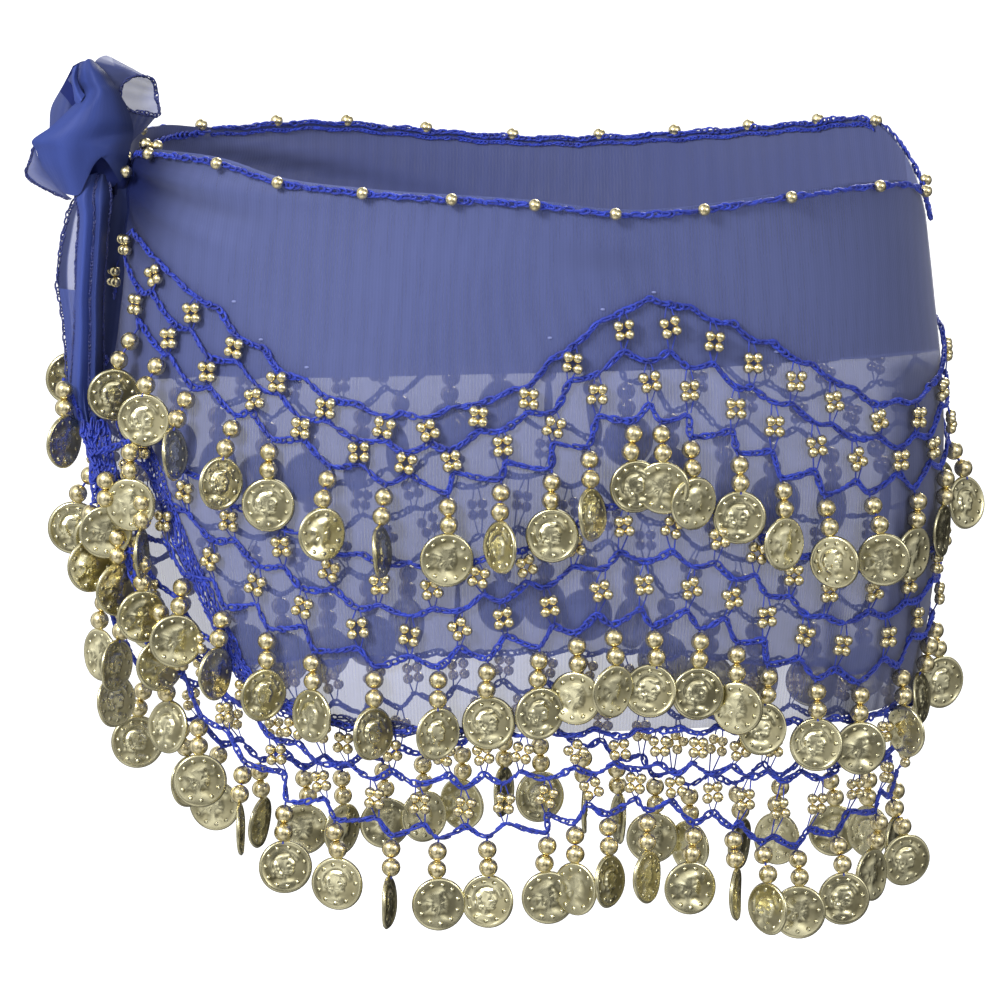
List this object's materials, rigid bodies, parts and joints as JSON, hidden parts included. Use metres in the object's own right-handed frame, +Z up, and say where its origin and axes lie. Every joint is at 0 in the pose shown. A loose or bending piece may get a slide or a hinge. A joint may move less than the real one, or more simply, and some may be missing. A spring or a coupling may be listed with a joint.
{
  "type": "belly dance hip scarf",
  "caption": "Sheer hip scarf worn round the hips, tied in a bow at the side, with crochet net rows hung with beads and coins",
  "frame": {"origin": "middle of the open ring at the top edge, where the hips of a wearer hold it", "axes": "+Z up, -Y the front, +X the wearer's left hip, so that the knot and bow lie at -X; metres"},
  "size_m": [0.4045, 0.264, 0.3719],
  "materials": {
    "chiffon": "sheer polyester chiffon, two plies in the upper zone, single ply below",
    "crochet": "crochet chain of royal blue yarn with a soft sheen",
    "coin_brass": "thin stamped coins in a pale brass plate, with bright gold beads"
  },
  "bodies": {
    "root": {"cloth_front": "chiffon", "cloth_back": "chiffon", "ply_front": "chiffon", "ply_back": "chiffon", "edge_front": "crochet", "edge_back": "crochet", "net_1_front": "crochet", "net_1_back": "crochet", "net_2_front": "crochet", "net_2_back": "crochet", "net_3_front": "crochet", "net_3_back": "crochet", "coins_1_front": "coin_brass", "coins_1_back": "coin_brass", "coins_2_front": "coin_brass", "coins_2_back": "coin_brass", "coins_3_front": "coin_brass", "coins_3_back": "coin_brass", "knot": "chiffon", "bow_front": "chiffon", "bow_back": "chiffon", "tail": "chiffon", "tail_coins": "coin_brass"}
  },
  "joints": []
}
